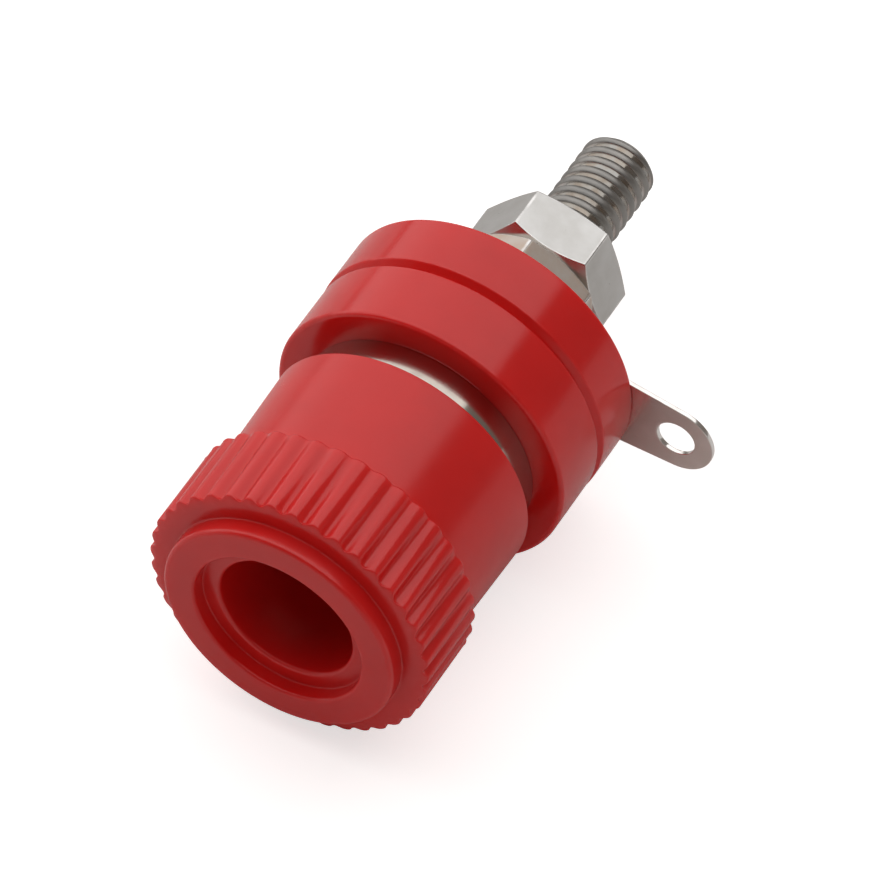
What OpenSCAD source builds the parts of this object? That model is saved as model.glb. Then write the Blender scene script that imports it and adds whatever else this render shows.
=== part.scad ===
// Banana socket: a 4 mm panel socket whose cap screws down to clamp a bare wire.
// The socket's axis lies along Y, with the cap at the front, towards -Y, and the stud at the rear.
// The origin is on that axis, in the plane where the front insulator seats on the panel.
// Sizes are in millimetres.

/* [Cap] */
// Length from the front of the ring to the rear of the skirt
cap_l = 11.55; // [11:0.05:14]
// Diameter of the smooth skirt where it leaves the collar
skirt_d = 13.6; // [13:0.1:14.2]
// How much wider the skirt is at its open rear end
skirt_flare = 0.3; // [0:0.05:0.4]
// Diameter over the ribs of the collar
collar_d = 15; // [14.6:0.1:16.5]
// Length of the fluted collar
collar_l = 4.56; // [3:0.02:6]
// Number of flutes round the collar
flute_count = 40; // [24:1:60]
// Depth of each flute
flute_depth = 0.4; // [0.15:0.01:0.5]
// Angle of the first flute about the axis, from +X towards +Z
flute_angle = 1.9; // [0:0.1:15]
// Width of the crest that is left between two flutes
crest_w = 0.14; // [0.05:0.01:0.3]
// Width of the rounded shoulder on the collar's front
shoulder_w = 0.9; // [0.2:0.05:0.95]
// How far that shoulder falls back
shoulder_h = 0.15; // [0.05:0.01:0.8]
// Diameter of the raised ring on the front
ring_d = 12.25; // [11:0.05:12.8]
// Height of the ring above the collar's front
ring_h = 0.97; // [0.3:0.01:1.2]
// Diameter of the shallow recess inside the ring
recess_d = 8.9; // [8:0.1:10]
// Depth of that recess
recess_depth = 0.8; // [0.4:0.05:1.5]
// Diameter of the mouth that the plug goes through
mouth_d = 7.05; // [6.2:0.05:7.6]
// Small radius on the cap's moulded edges
cap_edge_r = 0.15; // [0.05:0.01:0.25]

/* [Cap insert] */
// Outside diameter of the threaded bush in the cap
insert_d = 9.8; // [9:0.1:10.6]
// Length of the bush
insert_l = 5.6; // [4.5:0.1:6.5]
// Diameter of the rib that keys the bush into the cap
key_d = 11; // [10.8:0.1:11.8]
// Length of that rib
key_l = 1.4; // [0.8:0.1:2]

/* [Post] */
// Diameter over the cap's thread on the barrel
barrel_d = 6.9; // [6.2:0.05:7.4]
// Length of the barrel in front of the flange
barrel_l = 5.6; // [4.6:0.1:6.6]
// Diameter of the socket for the plug
socket_d = 4; // [3.6:0.1:4.4]
// Depth of the socket from the barrel's tip
socket_depth = 12; // [8:0.1:12.4]
// Diameter of the cross hole for a bare wire
wire_hole_d = 2; // [1.2:0.1:2.4]
// Distance from the flange to the middle of the cross hole
wire_hole_z = 1.3; // [1.25:0.05:2]
// Diameter of the flange
flange_d = 12.5; // [11:0.1:13]
// Thickness of the flange
flange_t = 1.75; // [1:0.05:2.5]
// Diameter of the shank inside the insulators
shank_d = 6; // [5.6:0.1:6.6]
// Width across the two flats that stop the shank from turning
shank_flats = 5.3; // [5:0.1:5.6]
// Diameter over the stud's thread
stud_d = 3.95; // [3.5:0.05:4]
// How much thinner the stud is drawn where the nuts grip it, near the middle of the thread's depth
grip_step = 0.35; // [0.1:0.05:0.5]
// Length of stud that stands out behind the nuts
stud_free_l = 6.7; // [3:0.05:12]
// Chamfer on the stud's end
stud_break = 0.45; // [0.3:0.05:0.9]

/* [Insulators] */
// Diameter of the front insulator
front_d = 15.5; // [14.5:0.1:18]
// Thickness of the front insulator's disc
front_t = 3.4; // [2:0.05:5]
// How much wider the rear insulator is than the front one
rear_step = 0.1; // [0:0.05:0.6]
// Thickness of the rear insulator
rear_t = 3.35; // [2.2:0.05:4]
// Gap between the two discs, which a panel opens
panel_gap = 0.05; // [0.05:0.05:3]
// Diameter of the spigot that passes through the panel
spigot_d = 8; // [7.6:0.1:9]
// Thickness of the rear insulator's web behind the spigot
web_t = 0.95; // [0.6:0.05:1.4]
// Radius on the front rim of the front disc
front_rim_r = 0.25; // [0.1:0.01:0.5]
// Radius on the front rim of the rear disc, which leaves a groove between the two
groove_r = 0.42; // [0.1:0.01:0.8]
// Small radius on the rear rims of the discs
rear_rim_r = 0.1; // [0.05:0.01:0.3]

/* [Solder lug] */
// Thickness of the sheet
lug_t = 0.25; // [0.15:0.05:0.6]
// Distance from the stud's axis to the solder hole
lug_l = 10.25; // [8:0.05:16]
// Diameter of the solder hole
lug_hole_d = 2; // [1:0.1:2.6]
// Width of the rounded tip
lug_tip_w = 3.95; // [3.4:0.05:5]
// Width of the tongue where it leaves the eye
lug_root_w = 5.4; // [4.2:0.1:6.4]
// Diameter of the eye round the stud
lug_eye_d = 7.6; // [6.8:0.1:9]
// Angle of the lug about the axis, from +X towards +Z
lug_angle = -6.6; // [-180:0.05:180]

/* [Washer and nuts] */
// Outside diameter of the spring washer
washer_d = 6.9; // [6:0.1:7.6]
// Thickness of the spring washer
washer_t = 0.95; // [0.5:0.05:1.2]
// Width of the split in the washer
washer_split = 0.5; // [0.2:0.05:1]
// Width of each nut across its flats
nut_af = 6.9; // [6.6:0.05:8]
// Height of each nut
nut_h = 2.85; // [2:0.05:4]
// Slope of the chamfer on the corners of each nut's crowned side, in degrees
nut_chamfer = 31; // [20:1:45]
// Slope of the slighter chamfer on its other side, in degrees
nut_seat_chamfer = 18; // [5:1:30]
// Angle of a flat of the inner nut, from +X towards +Z
inner_nut_angle = 57; // [0:0.5:120]
// Angle of a flat of the outer nut, from +X towards +Z
outer_nut_angle = 75.5; // [0:0.5:120]

/* [Fits] */
// Radial clearance between a thread and its mate
thread_clear = 0.04; // [0.02:0.01:0.1]
// Clearance round the bush inside the cap
insert_clear = 0.04; // [0.02:0.01:0.1]
// Clearance round the shank and the spigot, and behind the outer nut
seat_clear = 0.06; // [0.02:0.01:0.15]
// Clearance round the stud in the web, the lug and the washer
stud_clear = 0.12; // [0.06:0.01:0.2]
// Gap between the shank's end and the rear insulator's web
shank_gap = 0.18; // [0.05:0.01:0.4]
// Gap between the closed cap and the flange
cap_gap = 0.12; // [0.05:0.01:0.4]

/* [Hidden] */
$fn = 96;

red = [0.78, 0.17, 0.18];
nickel = [0.8, 0.79, 0.77];
tinned = [0.62, 0.59, 0.56];

rear_d = front_d + rear_step;

// Places along the axis, from the panel seat: the rear is positive
flange_z = -front_t - flange_t;
cap_rear_z = flange_z - cap_gap;
cap_front_z = cap_rear_z - cap_l;
tip_z = flange_z - barrel_l;
rear_z = panel_gap + rear_t;
web_z = rear_z - web_t;
shank_end_z = web_z - shank_gap;
washer_z = rear_z + lug_t;
inner_nut_z = washer_z + washer_t;
outer_nut_z = inner_nut_z + nut_h;
nuts_end_z = outer_nut_z + nut_h;
stud_end_z = nuts_end_z + stud_free_l;

// Chamfer at the ends of the threads, radius on the flange's edges and flat left inside a nut's chamfer
thread_break = 0.4;
metal_edge_r = 0.12;
nut_face_step = 0.1;

stud_hole_d = stud_d + 2 * stud_clear;
grip_d = stud_d - grip_step;
overcut = 0.5;

// Points of a quarter round about (r, z), from angle a to angle a + 90
function round_corner(r, z, radius, a, steps = 5) =
    [for (i = [0:steps]) [r + radius * cos(a + 90 * i / steps), z + radius * sin(a + 90 * i / steps)]];

// Lays a shape that is drawn along Z on the socket's axis
module on_axis() rotate([-90, 0, 0]) children();

// Turns a half section of [radius, distance] points about the axis
module turned(points) rotate_extrude() polygon(points);

// A hexagon nut on the stud, with its front face at z and a flat at the given angle
module nut(z, angle, front_slope, rear_slope) {
    corner_r = nut_af / 2 / cos(30);
    face_r = nut_af / 2 - nut_face_step;
    bound_r = corner_r + nut_face_step;
    front_drop = (bound_r - face_r) * tan(front_slope);
    rear_drop = (bound_r - face_r) * tan(rear_slope);
    hole_r = grip_d / 2 + thread_clear;
    on_axis() translate([0, 0, z]) difference() {
        intersection() {
            rotate(30 - angle) cylinder(r = corner_r, h = nut_h, $fn = 6);
            turned([[0, 0], [face_r, 0], [bound_r, front_drop], [bound_r, nut_h - rear_drop],
                    [face_r, nut_h], [0, nut_h]]);
        }
        translate([0, 0, -overcut]) cylinder(r = hole_r, h = nut_h + 2 * overcut);
        for (end = [0, 1]) translate([0, 0, end * nut_h]) mirror([0, 0, end])
            cylinder(r1 = hole_r + thread_break, r2 = hole_r, h = thread_break);
    }
}

// V grooves round the collar, from just ahead of the shoulder to the collar's rear end
module flutes() {
    crest_r = collar_d / 2;
    outer_r = crest_r + overcut;
    half_w = PI * crest_r / flute_count - crest_w / 2;
    outer_half_w = half_w * (flute_depth + overcut) / flute_depth;
    for (i = [0:flute_count - 1]) rotate(360 * i / flute_count - flute_angle)
        translate([0, 0, ring_h - overcut]) linear_extrude(collar_l + overcut)
            polygon([[crest_r - flute_depth, 0], [outer_r, outer_half_w], [outer_r, -outer_half_w]]);
}

// The moulded cap: ring, recess and mouth in front, fluted collar, smooth skirt and the bush's pocket
module cap() {
    collar_r = collar_d / 2;
    skirt_r = skirt_d / 2;
    skirt_end_r = skirt_r + skirt_flare / 2;
    pocket_r = insert_d / 2 + insert_clear;
    key_r = key_d / 2 + insert_clear;
    key_z = cap_l - insert_l / 2;
    pocket_z = cap_l - insert_l - insert_clear;
    shoulder = [for (p = round_corner(0, 1, 1, -90))
        [collar_r + shoulder_w * (p[0] - 1), ring_h + shoulder_h * p[1]]];
    section = concat(
        round_corner(ring_d / 2 - cap_edge_r, cap_edge_r, cap_edge_r, -90),
        [[ring_d / 2, ring_h]],
        shoulder,
        [[collar_r, ring_h + collar_l], [skirt_r, ring_h + collar_l]],
        round_corner(skirt_end_r - cap_edge_r, cap_l - cap_edge_r, cap_edge_r, 0),
        [[pocket_r, cap_l], [pocket_r, key_z + key_l / 2 + insert_clear],
         [key_r, key_z + key_l / 2 + insert_clear], [key_r, key_z - key_l / 2 - insert_clear],
         [pocket_r, key_z - key_l / 2 - insert_clear], [pocket_r, pocket_z],
         [mouth_d / 2, pocket_z], [mouth_d / 2, recess_depth], [recess_d / 2, recess_depth]],
        [[recess_d / 2, cap_edge_r], [recess_d / 2 + cap_edge_r, 0]]);
    color(red) on_axis() translate([0, 0, cap_front_z]) difference() {
        turned(section);
        flutes();
    }
}

// The threaded bush moulded into the cap, flush with the skirt's rear end
module cap_insert() {
    hole_r = barrel_d / 2 + thread_clear;
    section = [[hole_r, thread_break], [hole_r + thread_break, 0], [insert_d / 2, 0],
               [insert_d / 2, (insert_l - key_l) / 2], [key_d / 2, (insert_l - key_l) / 2],
               [key_d / 2, (insert_l + key_l) / 2], [insert_d / 2, (insert_l + key_l) / 2],
               [insert_d / 2, insert_l], [hole_r + thread_break, insert_l],
               [hole_r, insert_l - thread_break]];
    color(nickel) on_axis() translate([0, 0, cap_rear_z - insert_l]) turned(section);
}

// The turned contact: socketed barrel, flange, flatted shank and stud in one piece
module post() {
    socket_r = socket_d / 2;
    flange_r = flange_d / 2;
    stud_r = stud_d / 2;
    socket_end_z = min(tip_z + socket_depth, shank_end_z);
    section = concat(
        [[socket_r, tip_z + thread_break], [socket_r + thread_break, tip_z],
         [barrel_d / 2 - thread_break, tip_z], [barrel_d / 2, tip_z + thread_break],
         [barrel_d / 2, flange_z]],
        round_corner(flange_r - metal_edge_r, flange_z + metal_edge_r, metal_edge_r, -90),
        round_corner(flange_r - metal_edge_r, -front_t - metal_edge_r, metal_edge_r, 0),
        [[shank_d / 2, -front_t], [shank_d / 2, shank_end_z], [grip_d / 2, shank_end_z],
         [grip_d / 2, nuts_end_z + seat_clear], [stud_r, nuts_end_z + seat_clear],
         [stud_r, stud_end_z - stud_break], [stud_r - stud_break, stud_end_z], [0, stud_end_z],
         [0, socket_end_z], [socket_r, socket_end_z - socket_r / 2]]);
    flat_cut = shank_d;
    color(nickel) on_axis() difference() {
        turned(section);
        for (side = [-1, 1]) translate([side * (shank_flats + flat_cut) / 2, 0, (shank_end_z - front_t) / 2])
            cube([flat_cut, 2 * shank_d, shank_end_z + front_t], center = true);
        translate([0, 0, flange_z - wire_hole_z]) rotate([90, 0, 0])
            cylinder(d = wire_hole_d, h = barrel_d + 2 * overcut, center = true);
    }
}

// The front disc and the spigot that passes through the panel, bored for the flatted shank
module front_insulator() {
    disc_r = front_d / 2;
    section = concat(
        [[0, -front_t]],
        round_corner(disc_r - front_rim_r, front_rim_r - front_t, front_rim_r, -90),
        round_corner(disc_r - rear_rim_r, -rear_rim_r, rear_rim_r, 0),
        [[spigot_d / 2, 0], [spigot_d / 2, web_z], [0, web_z]]);
    color(red) on_axis() difference() {
        turned(section);
        intersection() {
            translate([0, 0, -front_t - overcut])
                cylinder(d = shank_d + 2 * seat_clear, h = front_t + web_z + 2 * overcut);
            cube([shank_flats + 2 * seat_clear, 2 * shank_d, 2 * (front_t + web_z + overcut)],
                 center = true);
        }
    }
}

// The rear disc, recessed for the spigot and bored for the stud
module rear_insulator() {
    disc_r = rear_d / 2;
    recess_r = spigot_d / 2 + seat_clear;
    section = concat(
        [[recess_r, panel_gap]],
        round_corner(disc_r - groove_r, panel_gap + groove_r, groove_r, -90),
        round_corner(disc_r - rear_rim_r, rear_z - rear_rim_r, rear_rim_r, 0),
        [[stud_hole_d / 2, rear_z], [stud_hole_d / 2, web_z], [recess_r, web_z]]);
    color(red) on_axis() turned(section);
}

// The stamped tag: an eye on the stud and a tongue that narrows to a rounded tip
module solder_lug() {
    tip_r = lug_tip_w / 2;
    root_r = lug_root_w / 2;
    lean = asin((root_r - tip_r) / lug_l);
    function side_point(r, x, side) = [x + r * sin(lean), side * r * cos(lean)];
    color(tinned) on_axis() translate([0, 0, rear_z]) rotate(-lug_angle) difference() {
        union() {
            cylinder(d = lug_eye_d, h = lug_t);
            linear_extrude(lug_t)
                polygon([side_point(root_r, 0, 1), side_point(tip_r, lug_l, 1),
                         side_point(tip_r, lug_l, -1), side_point(root_r, 0, -1)]);
            translate([lug_l, 0, 0]) cylinder(r = tip_r, h = lug_t);
        }
        translate([0, 0, -overcut]) cylinder(d = stud_hole_d, h = lug_t + 2 * overcut);
        translate([lug_l, 0, -overcut]) cylinder(d = lug_hole_d, h = lug_t + 2 * overcut);
    }
}

// The split spring washer, pressed flat between the lug and the inner nut
module lock_washer() {
    color(nickel) on_axis() translate([0, 0, washer_z]) difference() {
        cylinder(d = washer_d, h = washer_t);
        translate([0, 0, -overcut]) cylinder(d = stud_hole_d, h = washer_t + 2 * overcut);
        rotate(-lug_angle + 180) translate([0, -washer_split / 2, -overcut])
            cube([washer_d, washer_split, washer_t + 2 * overcut]);
    }
}

// The nut that holds the insulators on the panel, with its crowned side to the rear
module inner_nut() { color(nickel) nut(inner_nut_z, inner_nut_angle, nut_seat_chamfer, nut_chamfer); }

// The nut that clamps a ring terminal on the stud, with its crowned side to the front
module outer_nut() { color(nickel) nut(outer_nut_z, outer_nut_angle, nut_chamfer, nut_seat_chamfer); }

cap();
cap_insert();
post();
front_insulator();
rear_insulator();
solder_lug();
lock_washer();
inner_nut();
outer_nut();
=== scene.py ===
import math

import bpy
import numpy as np
from mathutils import Matrix, Vector


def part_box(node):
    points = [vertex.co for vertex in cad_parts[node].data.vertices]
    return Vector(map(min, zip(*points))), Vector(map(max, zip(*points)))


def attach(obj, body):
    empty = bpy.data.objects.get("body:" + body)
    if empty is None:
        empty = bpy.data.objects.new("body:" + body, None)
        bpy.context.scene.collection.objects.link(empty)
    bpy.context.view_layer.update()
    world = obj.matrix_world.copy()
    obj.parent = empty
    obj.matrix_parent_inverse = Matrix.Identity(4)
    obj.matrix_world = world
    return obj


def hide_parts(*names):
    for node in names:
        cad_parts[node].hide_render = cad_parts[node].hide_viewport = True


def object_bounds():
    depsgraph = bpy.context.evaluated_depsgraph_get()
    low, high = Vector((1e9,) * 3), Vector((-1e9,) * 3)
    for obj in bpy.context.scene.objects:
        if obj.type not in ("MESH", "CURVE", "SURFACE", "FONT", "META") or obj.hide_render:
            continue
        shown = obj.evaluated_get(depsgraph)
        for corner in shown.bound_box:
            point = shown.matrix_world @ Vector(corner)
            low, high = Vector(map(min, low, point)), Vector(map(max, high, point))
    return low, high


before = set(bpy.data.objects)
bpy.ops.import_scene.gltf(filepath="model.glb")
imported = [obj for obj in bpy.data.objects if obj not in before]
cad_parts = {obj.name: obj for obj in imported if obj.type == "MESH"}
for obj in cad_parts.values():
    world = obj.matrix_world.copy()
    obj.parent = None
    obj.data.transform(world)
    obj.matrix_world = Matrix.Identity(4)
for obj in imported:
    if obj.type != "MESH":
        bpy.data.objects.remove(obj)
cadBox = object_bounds()
scene = bpy.context.scene
scene.view_settings.view_transform = "Standard"
mm = 0.001
tiny = 1e-6  # keeps a division off zero; in millimetres, what lies closer than this is on one line
white = (1.0, 1.0, 1.0, 1.0)
print("frame loaded with", len(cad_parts), "nodes")


cameraLook = {
    "aim": (0.0125, -1.8750, -1.3948),  # millimetres, from the panel seat on the axis
    "distance": 337.638,
    "azimuth": -60.78528, "elevation": 49.83648, "roll": 0.22822,  # degrees
    "lens": 293.4, "sensor": 36.0, "clip": (0.01, 20.0),
}


# the way back from the aim is the unit vector at the azimuth and elevation; the camera's right is the level
# direction across it, rolled towards the upright one, and its up is square to both
def placeCamera(look):
    azimuth, elevation, roll = (math.radians(look[key]) for key in ("azimuth", "elevation", "roll"))
    back = Vector((math.cos(azimuth), math.sin(azimuth), 0)) * math.cos(elevation)
    back.z = math.sin(elevation)
    level = Vector((-math.sin(azimuth), math.cos(azimuth), 0))
    right = level * math.cos(roll) + back.cross(level) * math.sin(roll)
    turn = Matrix((right, back.cross(right), back)).transposed().to_4x4()
    data = bpy.data.cameras.new("photoCamera")
    data.lens, data.sensor_width = look["lens"], look["sensor"]
    data.clip_start, data.clip_end = look["clip"]
    camera = bpy.data.objects.new("photoCamera", data)
    camera.matrix_world = Matrix.Translation((Vector(look["aim"]) + back * look["distance"]) * mm) @ turn
    scene.collection.objects.link(camera)
    scene.camera = camera


placeCamera(cameraLook)
print("camera placed")


# adds a node, sets its properties, then links the inputs that are given a socket and sets the others
def addNode(tree, kind, inputs=(), **settings):
    node = tree.nodes.new(kind)
    for key, value in settings.items():
        setattr(node, key, value)
    for key, value in dict(inputs).items():
        if isinstance(value, bpy.types.NodeSocket):
            tree.links.new(value, node.inputs[key])
        else:
            node.inputs[key].default_value = value
    return node


# one operation on two values, or on the first alone
def mathNode(tree, operation, first, second=0.5):
    return addNode(tree, "ShaderNodeMath", {0: first, 1: second}, operation=operation).outputs[0]


# a value carried evenly from one range to another and held at its ends
def rangeNode(tree, value, fromLow, fromHigh, toLow=0.0, toHigh=1.0):
    return addNode(tree, "ShaderNodeMapRange", {
        "Value": value, "From Min": fromLow, "From Max": fromHigh, "To Min": toLow, "To Max": toHigh,
    }).outputs["Result"]


# a colour that goes from the first to the second with the factor
def mixNode(tree, factor, first, second):
    return addNode(tree, "ShaderNodeMix", {0: factor, 6: first, 7: second}, data_type="RGBA").outputs[2]


# soft noise round one half, with the detail's finer layers added
def noiseNode(tree, vector, scale, detail=2.0, rough=0.5):
    return addNode(tree, "ShaderNodeTexNoise", {
        "Vector": vector, "Scale": scale, "Detail": detail, "Roughness": rough,
    }).outputs["Fac"]


# a mask that the mesh carries at its points, and 0 where it carries none
def maskNode(tree, name):
    return addNode(tree, "ShaderNodeAttribute", attribute_name=name).outputs["Fac"]


# an empty node group with named number sockets
def startGroup(name, inputs, outputs):
    group = bpy.data.node_groups.new(name, "ShaderNodeTree")
    for label, value in inputs.items():
        group.interface.new_socket(label, in_out="INPUT", socket_type="NodeSocketFloat").default_value = value
    for label in outputs:
        group.interface.new_socket(label, in_out="OUTPUT", socket_type="NodeSocketFloat")
    return group, group.nodes.new("NodeGroupInput").outputs, group.nodes.new("NodeGroupOutput").inputs


def useGroup(tree, group):
    return addNode(tree, "ShaderNodeGroup", node_tree=group).outputs


# specks that sit where a cell's point is close, in the few cells whose random colour is high; the core is the
# share of a speck that is full, and the ramp is how soon a cell counts as one of the few
def speckNode(tree, place, scale, size, keep, core=0.3, ramp=0.07):
    cell = addNode(tree, "ShaderNodeTexVoronoi", {"Vector": place, "Scale": scale}).outputs
    near = rangeNode(tree, cell["Distance"], size, size * core)
    chance = addNode(tree, "ShaderNodeSeparateColor", {0: cell["Color"]}).outputs[0]
    return mathNode(tree, "MULTIPLY", near, rangeNode(tree, chance, keep, keep + ramp))


skinLook = {
    "cloudScale": 240.0, "grainScale": 5200.0,
    "pitScale": 900.0, "pitSize": 0.07, "pitKeep": 0.72,
    "scuffTurn": (0.5, 0.35, 0.9), "scuffScale": (3200.0, 190.0, 3200.0), "scuffWidth": (0.012, 0.002),
    "patchScale": 130.0, "patch": (0.50, 0.68),
}


# moulded skin: broad flow clouds, a fine eggshell grain, tiny pits, and short scuffs where stretched noise
# comes near its middle value
def makeSkinGroup(look):
    tree, given, result = startGroup(
        "mouldedSkin",
        {"Cloud Scale": look["cloudScale"], "Grain Scale": look["grainScale"], "Pit Scale": look["pitScale"]},
        ("Cloud", "Grain", "Pit", "Scuff"))
    place = addNode(tree, "ShaderNodeTexCoord").outputs["Object"]
    stretched = addNode(tree, "ShaderNodeMapping", {
        "Vector": place, "Rotation": look["scuffTurn"], "Scale": look["scuffScale"]}).outputs[0]
    fromMiddle = mathNode(tree, "SUBTRACT", noiseNode(tree, stretched, 1.0, detail=1.0), 0.5)
    line = rangeNode(tree, mathNode(tree, "ABSOLUTE", fromMiddle), *look["scuffWidth"])
    patch = rangeNode(tree, noiseNode(tree, place, look["patchScale"]), *look["patch"])
    pit = speckNode(tree, place, given["Pit Scale"], look["pitSize"], look["pitKeep"])
    tree.links.new(noiseNode(tree, place, given["Cloud Scale"], detail=3.0), result["Cloud"])
    tree.links.new(noiseNode(tree, place, given["Grain Scale"]), result["Grain"])
    tree.links.new(pit, result["Pit"])
    tree.links.new(mathNode(tree, "MULTIPLY", line, patch), result["Scuff"])
    return tree


plateLook = {
    "lineScale": 9000.0, "filmScale": 500.0, "filmRough": 0.6, "grainScale": 14000.0,
    "speckScale": 2600.0, "speckSize": 0.12, "speckKeep": 0.80,
}


# plated metal: turning lines that depend on the distance from the axis and the place along it, a
# cloudy film, a fine frosted grain and dark specks
def makePlateGroup(look):
    tree, given, result = startGroup(
        "platedMetal",
        {"Line Scale": look["lineScale"], "Film Scale": look["filmScale"], "Grain Scale": look["grainScale"]},
        ("Lines", "Film", "Grain", "Speck"))
    place = addNode(tree, "ShaderNodeTexCoord").outputs["Object"]
    part = addNode(tree, "ShaderNodeSeparateXYZ", {0: place}).outputs
    squares = mathNode(tree, "ADD", mathNode(tree, "MULTIPLY", part[0], part[0]),
                       mathNode(tree, "MULTIPLY", part[2], part[2]))
    fromAxis = mathNode(tree, "SQRT", squares)
    section = addNode(tree, "ShaderNodeCombineXYZ", {0: fromAxis, 1: part[1]}).outputs[0]
    film = noiseNode(tree, place, given["Film Scale"], detail=4.0, rough=look["filmRough"])
    speck = speckNode(tree, place, look["speckScale"], look["speckSize"], look["speckKeep"])
    tree.links.new(noiseNode(tree, section, given["Line Scale"]), result["Lines"])
    tree.links.new(film, result["Film"])
    tree.links.new(noiseNode(tree, place, given["Grain Scale"]), result["Grain"])
    tree.links.new(speck, result["Speck"])
    return tree


rubLook = {"breakScale": 1500.0, "break": (0.30, 0.62)}


# edges that handling has rubbed: the mesh's own edge mask, broken up by noise
def makeRubGroup(look):
    tree, given, result = startGroup("rubbedEdge", {"Break Scale": look["breakScale"]}, ("Rub",))
    place = addNode(tree, "ShaderNodeTexCoord").outputs["Object"]
    broken = rangeNode(tree, noiseNode(tree, place, given["Break Scale"], detail=3.0), *look["break"])
    tree.links.new(mathNode(tree, "MULTIPLY", maskNode(tree, "edge"), broken), result["Rub"])
    return tree


skinGroup, plateGroup, rubGroup = makeSkinGroup(skinLook), makePlateGroup(plateLook), makeRubGroup(rubLook)


# a material that holds one Principled shader and its output
def startMaterial(name):
    material = bpy.data.materials.new(name)
    material.use_nodes = True
    tree = material.node_tree
    tree.nodes.clear()
    shader = tree.nodes.new("ShaderNodeBsdfPrincipled")
    addNode(tree, "ShaderNodeOutputMaterial", {"Surface": shader.outputs[0]})
    return material, tree, shader


# the height becomes a bump of the given depth in metres
def feed(tree, shader, colour, roughness, height, depth):
    bump = addNode(tree, "ShaderNodeBump", {"Height": height, "Strength": 1.0, "Distance": depth})
    tree.links.new(colour, shader.inputs["Base Color"])
    tree.links.new(roughness, shader.inputs["Roughness"])
    tree.links.new(bump.outputs[0], shader.inputs["Normal"])


redLook = {
    "deep": (0.70, 0.0135, 0.0125, 1.0), "light": (0.78, 0.0165, 0.0150, 1.0), "cloud": (0.3, 0.7),
    "rubbed": (0.81, 0.030, 0.028, 1.0), "rubShare": 0.55,
    "roughLow": 0.15, "roughHigh": 0.23, "roughCloud": (0.3, 1.1), "dullRough": 0.2, "satinRough": 0.07,
    "glowWeight": 0.45, "glowRadius": (1.0, 0.12, 0.10), "glowScale": 0.0012,
    "grainDepth": 0.0000036, "dullDepth": 0.3,
}


# red plastic: the colour drifts between a deep and a light red with the clouds, edges are rubbed paler,
# pits and scuffs are duller and sunk, and a share of the light spreads under the surface
def makeRed(look):
    material, tree, shader = startMaterial("mouldedRed")
    shader.inputs["Subsurface Weight"].default_value = look["glowWeight"]
    shader.inputs["Subsurface Radius"].default_value = look["glowRadius"]
    shader.inputs["Subsurface Scale"].default_value = look["glowScale"]
    skin, rub = useGroup(tree, skinGroup), useGroup(tree, rubGroup)
    colour = mixNode(tree, rangeNode(tree, skin["Cloud"], *look["cloud"]), look["deep"], look["light"])
    rubbed = mathNode(tree, "MULTIPLY", rub["Rub"], look["rubShare"])
    colour = mixNode(tree, rubbed, colour, look["rubbed"])
    dullAndPaintedShade = mathNode(tree, "MAXIMUM", skin["Pit"], skin["Scuff"])
    rough = mathNode(tree, "ADD", skin["Cloud"], mathNode(tree, "MULTIPLY", dullAndPaintedShade, look["dullRough"]))
    rough = rangeNode(tree, rough, *look["roughCloud"], look["roughLow"], look["roughHigh"])
    satin = mathNode(tree, "MULTIPLY", maskNode(tree, "satin"), look["satinRough"])
    rough = mathNode(tree, "ADD", rough, satin)
    height = mathNode(tree, "SUBTRACT", skin["Grain"], mathNode(tree, "MULTIPLY", dullAndPaintedShade, look["dullDepth"]))
    feed(tree, shader, colour, rough, height, look["grainDepth"])
    return material


nutLook = {
    "clean": (0.62, 0.615, 0.605, 1.0), "filmed": (0.54, 0.53, 0.51, 1.0), "film": (0.32, 0.68),
    "rubbed": (0.80, 0.79, 0.775, 1.0), "speck": (0.12, 0.105, 0.09, 1.0), "speckShare": 0.5,
    "roughLow": 0.24, "roughHigh": 0.36, "roughFilm": (-0.5, 1.0),
    "grainDepth": 0.0000014, "lineShare": 0.35,
}
# the panel nut's tones are warmer than the terminal nut's, and brown where the film is
panelNutLook = dict(nutLook, clean=(0.62, 0.59, 0.555, 1.0), filmed=(0.55, 0.43, 0.35, 1.0))
# the post's darker tone on the stud is painted shade, standing in for the dark surroundings that the stud
# reflects
postLook = dict(
    nutLook, clean=(0.64, 0.585, 0.53, 1.0), filmed=(0.50, 0.45, 0.40, 1.0),
    rubbed=(0.62, 0.615, 0.60, 1.0), roughLow=0.09, roughHigh=0.18, grainDepth=0.0000012, lineShare=0.65,
    dullAndPaintedShade=(0.29, 0.285, 0.275, 1.0), paintedShadeClean=0.80, dullRough=0.30)
lugLook = dict(
    nutLook, clean=(0.84, 0.80, 0.76, 1.0), filmed=(0.74, 0.69, 0.64, 1.0),
    rubbed=(0.93, 0.92, 0.905, 1.0), roughLow=0.13, roughHigh=0.22, grainDepth=0.0000012, lineShare=0.15)
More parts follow.
